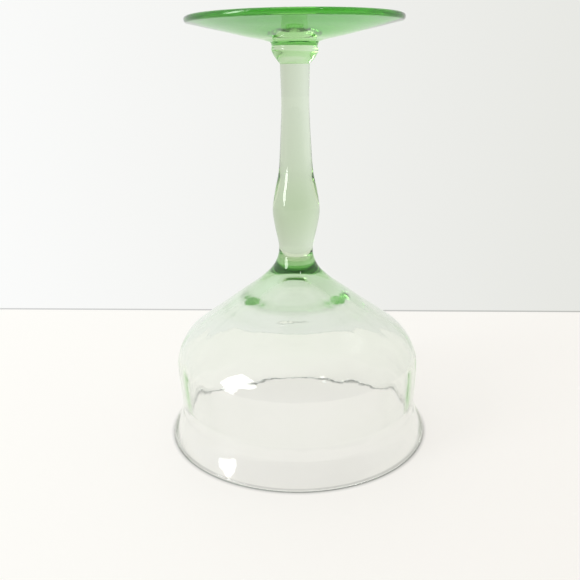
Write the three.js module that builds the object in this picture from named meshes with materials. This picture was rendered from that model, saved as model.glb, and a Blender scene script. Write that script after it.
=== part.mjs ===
// Stemmed dessert glass in green glass, standing upside down on its rim.
// Millimetres, +Z up. The axis of the glass is Z, the mouth is down at z = 0, the foot is on top.
// Five gathers of glass meet on flat joints: bowl, bowl base, stem, collar and foot.
import * as THREE from 'three';

// Driving dimensions.
const HEIGHT = 140;
const RIM_RADIUS = 45.5;
const FOOT_RADIUS = 34;
const WAIST_RADIUS = 41.5;
const BULGE_RADIUS = 42.2;
const KNOP_RADIUS = 7.9;
const SHANK_RADIUS = 4.5;

// The flat joints between one gather and the next: height and radius.
const BASE_JOINT = { z: 58.5, r: 8.8 };
const NECK_JOINT = { z: 61.7, r: 6.75 };
const COLLAR_JOINT = { z: 126, r: 4.75 };
const FOOT_JOINT = { z: 132.4, r: 7.7 };

// Bowl wall: thin at the side, thicker towards the solid base. The hollow is bell-shaped at its top.
const WALL = { bulge: 1.35, waist: 1.45, flare: 1.2 };
const WAIST_HEIGHT = 13;
const BULGE_HEIGHT = 25;
const CAVITY_TOP = 55;

// Lip: two rounded corners with a narrow level ring between them, which the glass stands on.
const LIP_THICKNESS = 1.3;
const LIP_CORNER = 0.45;

// Outside of the bowl between the lip and the waist, as [radius, height].
const FLARE = [[44.5, 3], [43.1, 6], [42.2, 8.5], [41.7, 10.8]];

// Optic pattern: upright ridges inside the bowl, which fade out at the lip and at the top.
const PANELS = 16;
const RIDGE = 0.15;

// Foot: a cast disc with a rounded edge. Its underside is flat at the edge and slightly hollow inside.
const FOOT_EDGE = 2;
const FOOT_CORNER = 0.8;
const REST_RING_INNER = 22;
const UNDERSIDE_HOLLOW = 0.8;

// Facets of the round solids. The bowl has a whole number of facets to each ridge.
const BOWL_SEGMENTS = PANELS * 4;
const SOLID_SEGMENTS = 40;

const GLASS_COLOUR = 0xbfd3ac;

const point = (r, z) => new THREE.Vector2(r, z);

// A smooth line through a few (radius, height) points.
function smooth(points, steps) {
  return new THREE.SplineCurve(points).getPoints(steps);
}

// A line that leaves the first point towards the middle one and arrives at the last from it.
function bend(start, middle, end, steps) {
  return new THREE.QuadraticBezierCurve(start, middle, end).getPoints(steps);
}

// A round corner about a centre, between two angles in degrees.
function corner(centre, radius, from, to, steps) {
  const line = [];
  for (let i = 0; i <= steps; i += 1) {
    const angle = THREE.MathUtils.degToRad(THREE.MathUtils.lerp(from, to, i / steps));
    line.push(point(centre.x + radius * Math.cos(angle), centre.y + radius * Math.sin(angle)));
  }
  return line;
}

// Turns a profile about Z into a closed solid. The profile runs up the outside.
function turned(profile, segments) {
  return new THREE.LatheGeometry(profile, segments).rotateX(Math.PI / 2);
}

function glassPiece(name, geometry) {
  const material = new THREE.MeshStandardMaterial({
    color: GLASS_COLOUR,
    roughness: 0.05,
    metalness: 0,
    transparent: true,
    opacity: 0.45,
  });
  const mesh = new THREE.Mesh(geometry, material);
  mesh.name = name;
  return mesh;
}

// Inside of the bowl, from the top of the hollow down to the lip.
function bowlInside() {
  const side = smooth([
    point(0, CAVITY_TOP),
    point(3, CAVITY_TOP - 0.4),
    point(6, 53.1),
    point(9.5, 50.8),
    point(13, 48.9),
    point(17.5, 47.1),
    point(21, 45),
    point(25, 42.8),
    point(31.7, 38.4),
    point(36.9, 34.7),
    point(40, 30),
    point(BULGE_RADIUS - WALL.bulge, BULGE_HEIGHT),
    point(WAIST_RADIUS - WALL.waist, WAIST_HEIGHT),
  ], 18);
  const flare = smooth([
    point(WAIST_RADIUS - WALL.waist, WAIST_HEIGHT),
    ...FLARE.map(([r, z]) => point(r - WALL.flare, z)).reverse(),
    point(RIM_RADIUS - LIP_THICKNESS, LIP_CORNER),
  ], 7);
  return [...side, ...flare.slice(1)];
}

// Outside of the bowl, from the lip up to the joint with the bowl base.
function bowlOutside() {
  const flare = smooth([
    point(RIM_RADIUS, LIP_CORNER),
    ...FLARE.map(([r, z]) => point(r, z)),
    point(WAIST_RADIUS, WAIST_HEIGHT),
  ], 7);
  const side = smooth([
    point(WAIST_RADIUS, WAIST_HEIGHT),
    point(BULGE_RADIUS, BULGE_HEIGHT),
    point(41.2, 30.8),
    point(38.2, 35.8),
    point(33, 40),
    point(19.4, 50),
    point(13, 54.7),
    point(BASE_JOINT.r, BASE_JOINT.z),
  ], 12);
  return [...flare, ...side.slice(1)];
}

// The optic ridges stand inwards from the inside surface, most at mid height.
function raiseRidges(geometry, profileLength, insideLength) {
  const position = geometry.attributes.position;
  for (let i = 0; i < position.count; i += 1) {
    const row = i % profileLength;
    if (row > 0 && row < insideLength) {
      const x = position.getX(i);
      const y = position.getY(i);
      const fade = Math.sin((Math.PI * position.getZ(i)) / CAVITY_TOP);
      const wave = 0.5 + 0.5 * Math.cos(PANELS * Math.atan2(y, x));
      const scale = 1 - (RIDGE * fade * wave * wave) / Math.hypot(x, y);
      position.setXY(i, x * scale, y * scale);
    }
  }
}

function bowl() {
  const inside = bowlInside();
  const innerCorner = point(RIM_RADIUS - LIP_THICKNESS + LIP_CORNER, LIP_CORNER);
  const outerCorner = point(RIM_RADIUS - LIP_CORNER, LIP_CORNER);
  const profile = [
    ...inside.slice(0, -1),
    ...corner(innerCorner, LIP_CORNER, 180, 270, 2),
    ...corner(outerCorner, LIP_CORNER, 270, 360, 2),
    ...bowlOutside().slice(1),
    point(0, BASE_JOINT.z),
  ];
  const geometry = turned(profile, BOWL_SEGMENTS);
  raiseRidges(geometry, profile.length, inside.length);
  return glassPiece('bowl', geometry);
}

// Short solid flare between the bowl and the neck of the stem.
function bowlBase() {
  const profile = [
    point(0, BASE_JOINT.z),
    ...bend(
      point(BASE_JOINT.r, BASE_JOINT.z),
      point(7.5, 60.1),
      point(NECK_JOINT.r, NECK_JOINT.z),
      6,
    ),
    point(0, NECK_JOINT.z),
  ];
  return glassPiece('bowl_base', turned(profile, SOLID_SEGMENTS));
}

// Solid drawn stem: a slim neck, a long oval knop, then a shank that tapers to the collar.
function stem() {
  const profile = [
    point(0, NECK_JOINT.z),
    ...smooth([
      point(NECK_JOINT.r, NECK_JOINT.z),
      point(6.14, 63.36),
      point(5.82, 65.2),
      point(5.9, 68),
      point(7.2, 74),
      point(KNOP_RADIUS, 79.5),
      point(7, 86),
      point(5.7, 92.5),
      point(5, 102),
      point(SHANK_RADIUS, 114),
      point(COLLAR_JOINT.r, COLLAR_JOINT.z),
    ], 16),
    point(0, COLLAR_JOINT.z),
  ];
  return glassPiece('stem', turned(profile, SOLID_SEGMENTS));
}

// Collar: a small bead of glass that joins the stem to the foot, with a slight groove under the foot.
function collar() {
  const profile = [
    point(0, COLLAR_JOINT.z),
    ...smooth([
      point(COLLAR_JOINT.r, COLLAR_JOINT.z),
      point(5.9, 127.2),
      point(6.9, 128.7),
      point(7.4, 130),
      point(7.2, 131.2),
      point(FOOT_JOINT.r, FOOT_JOINT.z),
    ], 10),
    point(0, FOOT_JOINT.z),
  ];
  return glassPiece('collar', turned(profile, SOLID_SEGMENTS));
}

function foot() {
  const lowCorner = point(FOOT_RADIUS - FOOT_CORNER, HEIGHT - FOOT_EDGE + FOOT_CORNER);
  const highCorner = point(FOOT_RADIUS - FOOT_CORNER, HEIGHT - FOOT_CORNER);
  const profile = [
    point(0, FOOT_JOINT.z),
    ...smooth([
      point(FOOT_JOINT.r, FOOT_JOINT.z),
      point(10, 133.05),
      point(16, 134.2),
      point(22, 135.6),
      point(27, 136.65),
      point(lowCorner.x, HEIGHT - FOOT_EDGE),
    ], 10),
    ...corner(lowCorner, FOOT_CORNER, 285, 360, 2),
    ...corner(highCorner, FOOT_CORNER, 0, 90, 2),
    ...bend(
      point(REST_RING_INNER, HEIGHT),
      point(REST_RING_INNER / 2, HEIGHT - UNDERSIDE_HOLLOW),
      point(0, HEIGHT - UNDERSIDE_HOLLOW),
      5,
    ),
  ];
  return glassPiece('foot', turned(profile, SOLID_SEGMENTS));
}

const glass = new THREE.Group();
glass.add(bowl(), bowlBase(), stem(), collar(), foot());

export default glass;
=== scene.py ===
# Stemmed green glass standing on its rim, on a pale table. Metres, +Z up, the glass axis is Z.
import math

import bmesh
import bpy
from mathutils import Euler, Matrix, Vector, noise


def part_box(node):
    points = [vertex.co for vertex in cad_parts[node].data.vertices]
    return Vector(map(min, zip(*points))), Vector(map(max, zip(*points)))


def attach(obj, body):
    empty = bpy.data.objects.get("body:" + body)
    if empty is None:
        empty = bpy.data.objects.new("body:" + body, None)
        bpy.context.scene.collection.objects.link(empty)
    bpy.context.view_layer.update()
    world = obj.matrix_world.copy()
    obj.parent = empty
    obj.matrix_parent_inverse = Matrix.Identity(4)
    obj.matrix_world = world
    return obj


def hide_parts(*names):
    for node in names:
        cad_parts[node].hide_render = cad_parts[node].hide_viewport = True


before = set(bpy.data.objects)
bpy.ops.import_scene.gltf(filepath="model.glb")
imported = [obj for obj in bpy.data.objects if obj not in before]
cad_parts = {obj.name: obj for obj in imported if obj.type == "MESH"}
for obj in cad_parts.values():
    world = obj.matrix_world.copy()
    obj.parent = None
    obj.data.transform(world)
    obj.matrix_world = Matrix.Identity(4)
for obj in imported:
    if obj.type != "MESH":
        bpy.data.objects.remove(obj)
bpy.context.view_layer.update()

MM = 0.001

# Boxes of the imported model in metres, and the heights and radii that come from them in millimetres.
BOWL_LOW, BOWL_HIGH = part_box("bowl")
STEM_LOW, STEM_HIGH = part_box("stem")
FOOT_LOW, FOOT_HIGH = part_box("foot")
RIM_RADIUS = BOWL_HIGH.x / MM
FOOT_RADIUS = FOOT_HIGH.x / MM
KNOP_RADIUS = STEM_HIGH.x / MM
HEIGHT = FOOT_HIGH.z / MM
BASE_JOINT = BOWL_HIGH.z / MM
NECK_JOINT = STEM_LOW.z / MM
COLLAR_JOINT = STEM_HIGH.z / MM
FOOT_JOINT = FOOT_LOW.z / MM

# Radii of the joints, in millimetres.
BASE_JOINT_RADIUS = 8.8
NECK_RADIUS = 6.75
COLLAR_RADIUS = 4.75
FOOT_JOINT_RADIUS = 7.7

# The bowl and the shank, in millimetres. FLARE is the bowl's outside between the lip and the waist.
WAIST_RADIUS = 41.5
BULGE_RADIUS = 42.2
SHANK_RADIUS = 4.5
WAIST_HEIGHT = 13
BULGE_HEIGHT = 25
CAVITY_TOP = 55
FLARE = [(44.5, 3), (43.1, 6), (42.2, 8.5), (41.7, 10.8)]
BULGE_WALL = 1.35
WAIST_WALL = 1.45
FLARE_WALL = 1.2
LIP_THICKNESS = 1.3

# The foot, in millimetres.
FOOT_EDGE = 2.0
FOOT_CORNER = 0.9
REST_RING_INNER = 22
UNDERSIDE_HOLLOW = 0.8

# Optic ridges inside the bowl: how many, and their height in millimetres.
PANELS = 16
RIDGE = 0.12

# The faces of a joint lie this far from its plane, so that neighbours never touch. A level face within
# JOINT_REACH of the plane counts as a face of the joint. Both are in millimetres.
JOINT_GAP = 0.005
JOINT_REACH = 0.02

BOWL_SEGMENTS = 256
SOLID_SEGMENTS = 160
ON_AXIS = 1e-6

# Handwork, in millimetres: the bowl leans a little to one side round LEAN_HEIGHT, its surfaces are not
# quite true, and the collar's rings slant. The waves fade out towards the axis, the lip and the joint.
LEAN = 0.8
LEAN_HEIGHT = 46
LEAN_SPREAD = 20
WAVE_HEIGHT = 0.08
WAVE_LENGTH = 8
WAVE_SIDES_APART = 50
AXIS_FADE = 12
LIP_FADE = 6
JOINT_FADE = 5
COLLAR_SLANT = 0.25

# Glass: a metre of it absorbs light with the coefficient (1 - absorb) * density, in red, green and blue.
# The clearness is a tint that light takes at the surface.
GLASS_IOR = 1.52
BOWL_ABSORB = (0.765, 0.90, 0.72)
BOWL_DENSITY = 135
BOWL_CLEARNESS = (1, 0.984, 1)
BASE_ABSORB = (0.76, 0.90, 0.675)
BASE_DENSITY = 175
COLLAR_DENSITY = 140
STEM_ABSORB = (0.7475, 0.854, 0.6625)
STEM_DENSITY = 118
STEM_CLEARNESS = (0.93, 0.93, 0.93)
FOOT_ABSORB = (0.735, 0.92, 0.65)
FOOT_DENSITY = 150
PLAIN_CLEARNESS = (1, 1, 1)

# Ripples in the surface: how many noise cells there are to a metre, and their height in metres.
RIPPLE_SCALE = 220
FOOT_RIPPLE_SCALE = 160
RIPPLES = 0.00001
BOWL_RIPPLES = 0.00004

# Fine scratches: their depth as a share of the ripples', and their scale. They grow from the first of two
# heights to the second, on the lip and on the underside of the foot, in metres.
WEAR = 0.12
SCRATCH_SCALE = 2500
LIP_WEAR = (0.0012, 0)
FOOT_WEAR = (HEIGHT * MM - 0.0006, HEIGHT * MM)

# The stage reaches this far to each side, just under the rim. The table ends TABLE_EDGE behind the glass's
# axis, and EDGE_TURN is the slope of that edge. A darker strip EDGE_LINE wide parts it from the wall's tone:
# a painted shadow along the table's edge, glowing EDGE_SHADE as bright as the wall.
STAGE_REACH = 6.0
FLOOR_GAP = 0.00005
TABLE_EDGE = 0.121
EDGE_TURN = 0.045
EDGE_LINE = 0.0022
EDGE_SHADE = 0.66

# Tones of the stage and the room. The table and the wall glow with painted light, brighter on the left,
# where the window is, than on the right, and the room's light fades the same way. They change from left to
# right with the X of a direction, between two places on a scale of 0 to 1. On the stage the direction starts
# FADE_CENTRE in front of the glass's axis. The table's painted glow also keeps the shadows of the glass on
# it faint.
TABLE_COLOUR = (0.20, 0.20, 0.20)
TABLE_ROUGHNESS = 0.6
TABLE_SHINE = 0.2
TABLE_GLOW_LEFT = (0.765, 0.753, 0.718)
TABLE_GLOW_RIGHT = (0.735, 0.710, 0.672)
WALL_COLOUR = (0, 0, 0)
WALL_ROUGHNESS = 1
WALL_SHINE = 0
WALL_LIGHT_LEFT = (0.98, 0.985, 0.98)
WALL_LIGHT_RIGHT = (0.78, 0.785, 0.745)
FADE_PLACES = (0.25, 0.75)
FADE_CENTRE = 0.22

# The table's glow falls to CONTACT_SHADE where something stands within CONTACT_REACH of it.
CONTACT_REACH = 0.0013
CONTACT_SHADE = 0.0
CONTACT_SAMPLES = 8

# Lights: power in watts, places and sizes in metres, and how far the window is rolled, in degrees.
LIGHT_AIM = (0, 0, 0.05)
WINDOW_POWER = 9
WINDOW_PLACE = (-1.05, -0.60, 0.53)
WINDOW_SIZE = (0.38, 0.8)
WINDOW_ROLL = -20
LAMP_POWER = 0.15
LAMP_PLACE = (0.409, -0.654, 0.97)
LAMP_SIZE = (0.06, 0.1)
LAMP_ROLL = 0

# The room is dimmer behind the viewer: its strength is FRONT_DIM in directions whose Y is below
# FRONT_DIM_FROM, and full from FRONT_DIM_TO on.
FRONT_DIM = 0.45
FRONT_DIM_FROM = -0.9
FRONT_DIM_TO = -0.1

# The camera: lens and sensor in millimetres, and its tilt down, turn and roll in degrees.
CAMERA_PLACE = (0, -0.22778, 0.12487)
CAMERA_LENS = 42.65
CAMERA_SENSOR = 36
CAMERA_PITCH = 17.96
CAMERA_YAW = 0.632
CAMERA_ROLL = -0.80

# How often a ray of light may meet a surface.
LIGHT_BOUNCES = 256


def smooth(points, steps):
    """A Catmull-Rom line through (radius, height) points, with the same number of steps in each span."""
    line = []
    for i in range(len(points) - 1):
        before = points[max(i - 1, 0)]
        start, end = points[i], points[i + 1]
        after = points[min(i + 2, len(points) - 1)]
        for step in range(steps):
            t = step / steps
            place = []
            for a, b, c, d in zip(before, start, end, after):
                leave, arrive = (c - a) / 2, (d - b) / 2
                place.append(
                    (2 * b - 2 * c + leave + arrive) * t**3
                    + (3 * c - 3 * b - 2 * leave - arrive) * t**2
                    + leave * t
                    + b
                )
            line.append(tuple(place))
    return line + [points[-1]]


def bend(start, middle, end, steps):
    """A line that leaves start towards middle and arrives at end from it."""
    line = []
    for step in range(steps + 1):
        t = step / steps
        line.append(tuple(
            (1 - t) ** 2 * a + 2 * t * (1 - t) * b + t * t * c for a, b, c in zip(start, middle, end)
        ))
    return line


def corner(centre, radius, turn_from, turn_to, steps):
    """A round corner about a centre, between two angles in degrees."""
    line = []
    for step in range(steps + 1):
        turn = math.radians(turn_from + (turn_to - turn_from) * step / steps)
        line.append((centre[0] + radius * math.cos(turn), centre[1] + radius * math.sin(turn)))
    return line


def lean(z):
    """How far the axis of the glass stands off to the right at a height, in millimetres."""
    return -LEAN * math.exp(-(((z - LEAN_HEIGHT) / LEAN_SPREAD) ** 2))


def waves(x, y, z, side):
    """Soft unevenness of a hot-worked surface. side is 1 or 2 and sets the inside and the outside apart."""
    apart = Vector((0, 0, WAVE_SIDES_APART * side))
    return WAVE_HEIGHT * noise.noise(Vector((x, y, z)) / WAVE_LENGTH + apart)


def revolve(name, profile, segments, joints, shape=None):
    """A closed solid turned about Z. joints holds the heights of the flat joint faces. shape gives how far
    a point of the profile moves out and up at an angle."""
    bm = bmesh.new()
    free_surface = bm.faces.layers.float.new("free_surface")
    rings = []
    for row, (r, z) in enumerate(profile):
        if r < ON_AXIS:
            rings.append([bm.verts.new((lean(z) * MM, 0, z * MM))])
            continue
        ring = []
        for i in range(segments):
            turn = 2 * math.pi * i / segments
            out, up = shape(row, r, z, turn) if shape else (0, 0)
            x, y = (r + out) * math.cos(turn) + lean(z), (r + out) * math.sin(turn)
            ring.append(bm.verts.new((x * MM, y * MM, (z + up) * MM)))
        rings.append(ring)
    for low, high in zip(rings, rings[1:]):
        for i in range(segments):
            j = (i + 1) % segments
            corners = [low[i % len(low)], low[j % len(low)], high[j % len(high)], high[i % len(high)]]
            face = bm.faces.new(list(dict.fromkeys(corners)))
            face.smooth = True
            heights = {round(vertex.co.z / MM, 4) for vertex in face.verts}
            level = len(heights) == 1
            on_joint = level and any(abs(min(heights) - z) < JOINT_REACH for z in joints)
            face[free_surface] = 0.0 if on_joint else 1.0
    bmesh.ops.recalc_face_normals(bm, faces=bm.faces)
    for edge in bm.edges:
        edge.smooth = len({face[free_surface] for face in edge.link_faces}) == 1
    mesh = bpy.data.meshes.new(name)
    bm.to_mesh(mesh)
    bm.free()
    piece = bpy.data.objects.new(name, mesh)
    bpy.context.collection.objects.link(piece)
    return piece


def bowl_inside():
    """Inside of the bowl, from the top of the hollow down to the lip."""
    inner_waist = WAIST_RADIUS - WAIST_WALL
    side = smooth([
        (0, CAVITY_TOP),
        (3, CAVITY_TOP - 0.4),
        (6, 53.1),
        (9.5, 50.8),
        (13, 48.9),
        (17.5, 47.1),
        (21, 45),
        (25, 42.8),
        (31.7, 38.4),
        (36.9, 34.7),
        (40, 30),
        (BULGE_RADIUS - BULGE_WALL, BULGE_HEIGHT),
        (inner_waist, WAIST_HEIGHT),
    ], steps=9)
    flare = smooth([
        (inner_waist, WAIST_HEIGHT),
        *((r - FLARE_WALL, z) for r, z in reversed(FLARE)),
        (RIM_RADIUS - LIP_THICKNESS, LIP_THICKNESS / 2),
    ], steps=5)
    return side + flare[1:]


def bowl_outside():
    """Outside of the bowl, from the lip up to the joint with the bowl base."""
    flare = smooth([
        (RIM_RADIUS, LIP_THICKNESS / 2),
        *FLARE,
        (WAIST_RADIUS, WAIST_HEIGHT),
    ], steps=5)
    side = smooth([
        (WAIST_RADIUS, WAIST_HEIGHT),
        (BULGE_RADIUS, BULGE_HEIGHT),
        (41.2, 30.8),
        (38.2, 35.8),
        (33, 40),
        (19.4, 50),
        (13, 54.7),
        (BASE_JOINT_RADIUS, BASE_JOINT - JOINT_GAP),
    ], steps=10)
    return flare + side[1:]


def make_bowl():
    inside = bowl_inside()
    lip_centre = (RIM_RADIUS - LIP_THICKNESS / 2, LIP_THICKNESS / 2)
    lip = corner(lip_centre, LIP_THICKNESS / 2, 180, 360, steps=12)[1:-1]
    profile = inside + lip + bowl_outside() + [(0, BASE_JOINT - JOINT_GAP)]

    def handwork(row, r, z, turn):
        on_inside = row < len(inside)
        x, y = r * math.cos(turn), r * math.sin(turn)
        still = min(r / AXIS_FADE, 1) * min(z / LIP_FADE, 1) * min((BASE_JOINT - z) / JOINT_FADE, 1)
        out = still * waves(x, y, z, 1 if on_inside else 2)
        if on_inside:
            fade = math.sin(math.pi * z / CAVITY_TOP)
            wave = 0.5 + 0.5 * math.cos(PANELS * turn)
            out -= RIDGE * fade * wave * wave * min(r / AXIS_FADE, 1)
        return out, 0

    return revolve("bowl_glass_body", profile, BOWL_SEGMENTS, [BASE_JOINT], handwork)


def make_bowl_base():
    low, high = BASE_JOINT + JOINT_GAP, NECK_JOINT - JOINT_GAP
    side = bend((BASE_JOINT_RADIUS, low), (7.5, 60.1), (NECK_RADIUS, high), steps=16)
    profile = [(0, low), *side, (0, high)]
    return revolve("bowl_base_gather", profile, SOLID_SEGMENTS, [BASE_JOINT, NECK_JOINT])


def make_stem():
    low, high = NECK_JOINT + JOINT_GAP, COLLAR_JOINT - JOINT_GAP
    side = smooth([
        (NECK_RADIUS, low),
        (6.14, 63.36),
        (5.82, 65.2),
        (5.9, 68),
        (7.2, 74),
        (KNOP_RADIUS, 79.5),
        (7, 86),
        (5.7, 92.5),
        (5, 102),
        (SHANK_RADIUS, 114),
        (COLLAR_RADIUS, high),
    ], steps=9)
    profile = [(0, low), *side, (0, high)]
    return revolve("stem_drawn", profile, SOLID_SEGMENTS, [NECK_JOINT, COLLAR_JOINT])


def make_collar():
    low, high = COLLAR_JOINT + JOINT_GAP, FOOT_JOINT - JOINT_GAP
    side = smooth([
        (COLLAR_RADIUS, low),
        (5.9, 127.2),
        (6.9, 128.7),
        (7.4, 130),
        (7.2, 131.2),
        (FOOT_JOINT_RADIUS, high),
    ], steps=7)

    def slant(row, r, z, turn):
        share = (z - low) / (high - low)
        return 0, -COLLAR_SLANT * math.sin(math.pi * share) * math.cos(turn)

    profile = [(0, low), *side, (0, high)]
    return revolve("collar_wafer", profile, SOLID_SEGMENTS, [COLLAR_JOINT, FOOT_JOINT], slant)


def make_foot():
    low = FOOT_JOINT + JOINT_GAP
    corner_radius = FOOT_RADIUS - FOOT_CORNER
    low_corner = (corner_radius, HEIGHT - FOOT_EDGE + FOOT_CORNER)
    high_corner = (corner_radius, HEIGHT - FOOT_CORNER)
    dome = smooth([
        (FOOT_JOINT_RADIUS, low),
        (10, 133.05),
        (13, 133.6),
        (16, 134.2),
        (22, 135.6),
        (27, 136.65),
        (31.2, 137.6),
        (corner_radius, HEIGHT - FOOT_EDGE),
    ], steps=7)
    underside = bend(
        (REST_RING_INNER, HEIGHT),
        (REST_RING_INNER / 2, HEIGHT - UNDERSIDE_HOLLOW),
        (0, HEIGHT - UNDERSIDE_HOLLOW),
        steps=14,
    )
    profile = [
        (0, low),
        *dome,
        *corner(low_corner, FOOT_CORNER, 285, 360, steps=6),
        *corner(high_corner, FOOT_CORNER, 0, 90, steps=6),
        *underside,
    ]
    return revolve("foot_disc", profile, SOLID_SEGMENTS, [FOOT_JOINT])


def add_node(tree, kind, **inputs):
    """A new node. The keywords set its inputs, with an underscore for each space in their names."""
    node = tree.nodes.new(kind)
    for key, value in inputs.items():
        node.inputs[key.replace("_", " ")].default_value = value
    return node


def add_scratches(tree, place, ripples, wear):
    """The height of the ripples with fine scratches, which grow between the two heights in wear."""
    height = add_node(tree, "ShaderNodeSeparateXYZ")
    tree.links.new(place.outputs["Object"], height.inputs["Vector"])
    low, high = wear
    amount = add_node(tree, "ShaderNodeMapRange", From_Min=low, From_Max=high, To_Min=0.0, To_Max=WEAR)
    tree.links.new(height.outputs["Z"], amount.inputs["Value"])
    scratches = add_node(tree, "ShaderNodeTexNoise", Scale=SCRATCH_SCALE, Detail=2.0, Roughness=0.6)
    tree.links.new(place.outputs["Object"], scratches.inputs["Vector"])
    worn = add_node(tree, "ShaderNodeMath")
    worn.operation = "MULTIPLY_ADD"
    tree.links.new(scratches.outputs["Fac"], worn.inputs[0])
    tree.links.new(amount.outputs["Result"], worn.inputs[1])
    tree.links.new(ripples.outputs["Fac"], worn.inputs[2])
    return worn.outputs["Value"]


def glass_material(name, absorb, density, clearness, ripple_scale, ripple_height, wear=None):
    """Green glass: coloured by depth, with faint ripples and, where wear is given, with fine scratches."""
    material = bpy.data.materials.new(name)
    material.use_nodes = True
    tree = material.node_tree
    shader = tree.nodes["Principled BSDF"]
    shader.inputs["Base Color"].default_value = (*clearness, 1)
    shader.inputs["Transmission Weight"].default_value = 1
    shader.inputs["Roughness"].default_value = 0
    place = add_node(tree, "ShaderNodeTexCoord")
    ripples = add_node(tree, "ShaderNodeTexNoise", Scale=ripple_scale, Detail=4.0, Roughness=0.5)
    tree.links.new(place.outputs["Object"], ripples.inputs["Vector"])
    height = add_scratches(tree, place, ripples, wear) if wear else ripples.outputs["Fac"]
    bump = add_node(tree, "ShaderNodeBump", Strength=1.0, Distance=ripple_height)
    tree.links.new(height, bump.inputs["Height"])
    tree.links.new(bump.outputs["Normal"], shader.inputs["Normal"])
    # On a fused joint the glass doesn't bend light, because it goes on into the next piece.
    free_surface = add_node(tree, "ShaderNodeAttribute")
    free_surface.attribute_name = "free_surface"
    index = add_node(tree, "ShaderNodeMath")
    index.operation = "MULTIPLY_ADD"
    index.inputs[1].default_value = GLASS_IOR - 1
    index.inputs[2].default_value = 1
    tree.links.new(free_surface.outputs["Fac"], index.inputs[0])
    tree.links.new(index.outputs["Value"], shader.inputs["IOR"])
    volume = add_node(tree, "ShaderNodeVolumeAbsorption", Color=(*absorb, 1), Density=density)
    tree.links.new(volume.outputs["Volume"], tree.nodes["Material Output"].inputs["Volume"])
    return material


def side_fade(tree, direction, left, right):
    """A colour that changes from left to right with the X of a direction."""
    across = add_node(tree, "ShaderNodeSeparateXYZ")
    tree.links.new(direction, across.inputs["Vector"])
    fall = add_node(tree, "ShaderNodeMapRange", From_Min=-1.0, From_Max=1.0, To_Min=0.0, To_Max=1.0)
    tree.links.new(across.outputs["X"], fall.inputs["Value"])
    ramp = add_node(tree, "ShaderNodeValToRGB")
    for element, position, colour in zip(ramp.color_ramp.elements, FADE_PLACES, (left, right)):
        element.position = position
        element.color = (*colour, 1)
    tree.links.new(fall.outputs["Result"], ramp.inputs["Fac"])
    return ramp.outputs["Color"]


def glowing_material(name, colour, left, right, roughness, shine):
    """A surface that glows softly with painted light, in a tone that changes from left to right."""
    material = bpy.data.materials.new(name)
    material.use_nodes = True
    tree = material.node_tree
    shader = tree.nodes["Principled BSDF"]
    shader.inputs["Base Color"].default_value = (*colour, 1)
    shader.inputs["Roughness"].default_value = roughness
    shader.inputs["Specular IOR Level"].default_value = shine
    shader.inputs["Emission Strength"].default_value = 1
    place = add_node(tree, "ShaderNodeNewGeometry")
    shift = add_node(tree, "ShaderNodeVectorMath")
    shift.inputs[1].default_value = (0, FADE_CENTRE, 0)
    tree.links.new(place.outputs["Position"], shift.inputs[0])
    direction = add_node(tree, "ShaderNodeVectorMath")
    direction.operation = "NORMALIZE"
    tree.links.new(shift.outputs["Vector"], direction.inputs[0])
    glow = side_fade(tree, direction.outputs["Vector"], left, right)
    tree.links.new(glow, shader.inputs["Emission Color"])
    return material


def contact_shade(material):
    """Darkens the light of a glowing surface close to whatever stands on it."""
    tree = material.node_tree
    near = add_node(tree, "ShaderNodeAmbientOcclusion", Distance=CONTACT_REACH)
    near.samples = CONTACT_SAMPLES
    strength = add_node(tree, "ShaderNodeMapRange", To_Min=CONTACT_SHADE, To_Max=1.0)
    tree.links.new(near.outputs["AO"], strength.inputs["Value"])
    tree.links.new(strength.outputs["Result"], tree.nodes["Principled BSDF"].inputs["Emission Strength"])


def stage_plane(name, near_edge, far_edge, material):
    """A level plane across the stage. Each edge is a pair of distances behind the glass, left and right."""
    floor_z = BOWL_LOW.z - FLOOR_GAP
    corners = [
        (-STAGE_REACH, near_edge[0], floor_z),
        (STAGE_REACH, near_edge[1], floor_z),
        (STAGE_REACH, far_edge[1], floor_z),
        (-STAGE_REACH, far_edge[0], floor_z),
    ]
    mesh = bpy.data.meshes.new(name)
    mesh.from_pydata(corners, [], [(0, 1, 2, 3)])
    mesh.materials.append(material)
    plane = bpy.data.objects.new(name, mesh)
    bpy.context.collection.objects.link(plane)


def make_stage():
    slope = EDGE_TURN * STAGE_REACH
    table_near = (-STAGE_REACH, -STAGE_REACH)
    table_far = (TABLE_EDGE + slope, TABLE_EDGE - slope)
    line_far = (TABLE_EDGE + slope + EDGE_LINE, TABLE_EDGE - slope + EDGE_LINE)
    wall_far = (STAGE_REACH, STAGE_REACH)
    # The painted shadow along the table's edge: a strip that glows EDGE_SHADE as bright as the wall.
    shade_left = [EDGE_SHADE * part for part in WALL_LIGHT_LEFT]
    shade_right = [EDGE_SHADE * part for part in WALL_LIGHT_RIGHT]
    # The table glows with painted light, which keeps the glass's shadow on it faint.
    table = glowing_material(
        "glowing_white_table", TABLE_COLOUR, TABLE_GLOW_LEFT, TABLE_GLOW_RIGHT, TABLE_ROUGHNESS, TABLE_SHINE
    )
    contact_shade(table)
    line = glowing_material(
        "table_edge_shade", WALL_COLOUR, shade_left, shade_right, WALL_ROUGHNESS, WALL_SHINE
    )
    # The wall glows with painted light, brighter on the left than on the right.
    wall = glowing_material("glowing_pale_wall", WALL_COLOUR, WALL_LIGHT_LEFT, WALL_LIGHT_RIGHT, WALL_ROUGHNESS, WALL_SHINE)
    stage_plane("table", table_near, table_far, table)
    stage_plane("table_edge", table_far, line_far, line)
    stage_plane("beyond", line_far, wall_far, wall)


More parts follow.
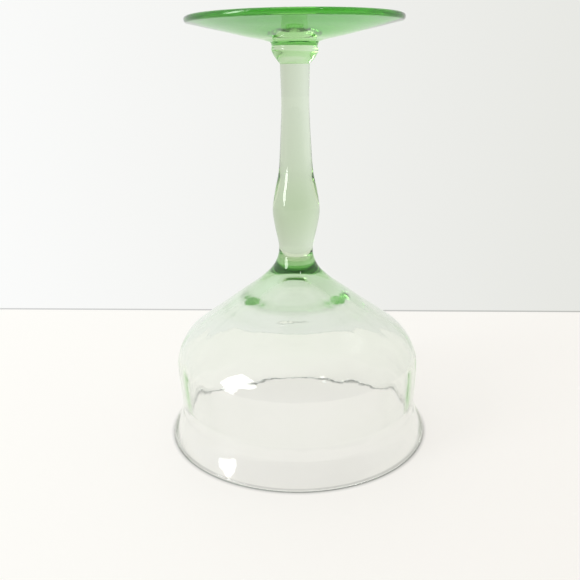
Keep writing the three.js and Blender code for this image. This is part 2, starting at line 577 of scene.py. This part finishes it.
def area_light(name, place, size, power, roll):
    """A rectangular light that faces the middle of the glass."""
    data = bpy.data.lights.new(name, "AREA")
    data.shape = "RECTANGLE"
    data.size, data.size_y = size
    data.energy = power
    light = bpy.data.objects.new(name, data)
    light.location = place
    facing = (Vector(LIGHT_AIM) - Vector(place)).to_track_quat("-Z", "Y").to_matrix()
    light.rotation_euler = (facing @ Euler((0, 0, math.radians(roll))).to_matrix()).to_euler()
    bpy.context.collection.objects.link(light)


def make_world():
    """A pale room, a little less bright on the right and behind the viewer."""
    world = bpy.data.worlds.new("soft_room")
    world.use_nodes = True
    tree = world.node_tree
    background = tree.nodes["Background"]
    direction = add_node(tree, "ShaderNodeTexCoord")
    around = side_fade(tree, direction.outputs["Generated"], WALL_LIGHT_LEFT, WALL_LIGHT_RIGHT)
    tree.links.new(around, background.inputs["Color"])
    depth = add_node(tree, "ShaderNodeSeparateXYZ")
    tree.links.new(direction.outputs["Generated"], depth.inputs["Vector"])
    dim = add_node(
        tree,
        "ShaderNodeMapRange",
        From_Min=FRONT_DIM_FROM,
        From_Max=FRONT_DIM_TO,
        To_Min=FRONT_DIM,
        To_Max=1.0,
    )
    dim.interpolation_type = "SMOOTHSTEP"
    tree.links.new(depth.outputs["Y"], dim.inputs["Value"])
    tree.links.new(dim.outputs["Result"], background.inputs["Strength"])
    bpy.context.scene.world = world


def make_camera():
    data = bpy.data.cameras.new("view")
    data.sensor_width = CAMERA_SENSOR
    data.lens = CAMERA_LENS
    camera = bpy.data.objects.new("view", data)
    camera.location = CAMERA_PLACE
    yaw = Euler((0, 0, math.radians(CAMERA_YAW))).to_matrix()
    pitch = Euler((math.radians(90 - CAMERA_PITCH), 0, 0)).to_matrix()
    roll = Euler((0, 0, math.radians(CAMERA_ROLL))).to_matrix()
    camera.rotation_euler = (yaw @ pitch @ roll).to_euler()
    bpy.context.collection.objects.link(camera)
    bpy.context.scene.camera = camera


def finish_piece(piece, node, material):
    piece.data.materials.append(material)
    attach(piece, "root")
    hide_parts(node)


bowl_glass = glass_material(
    "bowl_green_glass", BOWL_ABSORB, BOWL_DENSITY, BOWL_CLEARNESS, RIPPLE_SCALE, BOWL_RIPPLES, LIP_WEAR
)
base_glass = glass_material(
    "base_green_glass", BASE_ABSORB, BASE_DENSITY, PLAIN_CLEARNESS, RIPPLE_SCALE, RIPPLES
)
stem_glass = glass_material(
    "stem_green_glass", STEM_ABSORB, STEM_DENSITY, STEM_CLEARNESS, RIPPLE_SCALE, RIPPLES
)
collar_glass = glass_material(
    "collar_green_glass", BASE_ABSORB, COLLAR_DENSITY, PLAIN_CLEARNESS, RIPPLE_SCALE, RIPPLES
)
foot_glass = glass_material(
    "foot_green_glass", FOOT_ABSORB, FOOT_DENSITY, PLAIN_CLEARNESS, FOOT_RIPPLE_SCALE, RIPPLES, FOOT_WEAR
)
finish_piece(make_bowl(), "bowl", bowl_glass)
finish_piece(make_bowl_base(), "bowl_base", base_glass)
finish_piece(make_stem(), "stem", stem_glass)
finish_piece(make_collar(), "collar", collar_glass)
finish_piece(make_foot(), "foot", foot_glass)

make_stage()
make_world()
area_light("window", WINDOW_PLACE, WINDOW_SIZE, WINDOW_POWER, WINDOW_ROLL)
area_light("lamp", LAMP_PLACE, LAMP_SIZE, LAMP_POWER, LAMP_ROLL)
make_camera()

scene = bpy.context.scene
scene.view_settings.view_transform = "Standard"
scene.cycles.max_bounces = LIGHT_BOUNCES
scene.cycles.glossy_bounces = LIGHT_BOUNCES
scene.cycles.transmission_bounces = LIGHT_BOUNCES
scene.cycles.transparent_max_bounces = LIGHT_BOUNCES
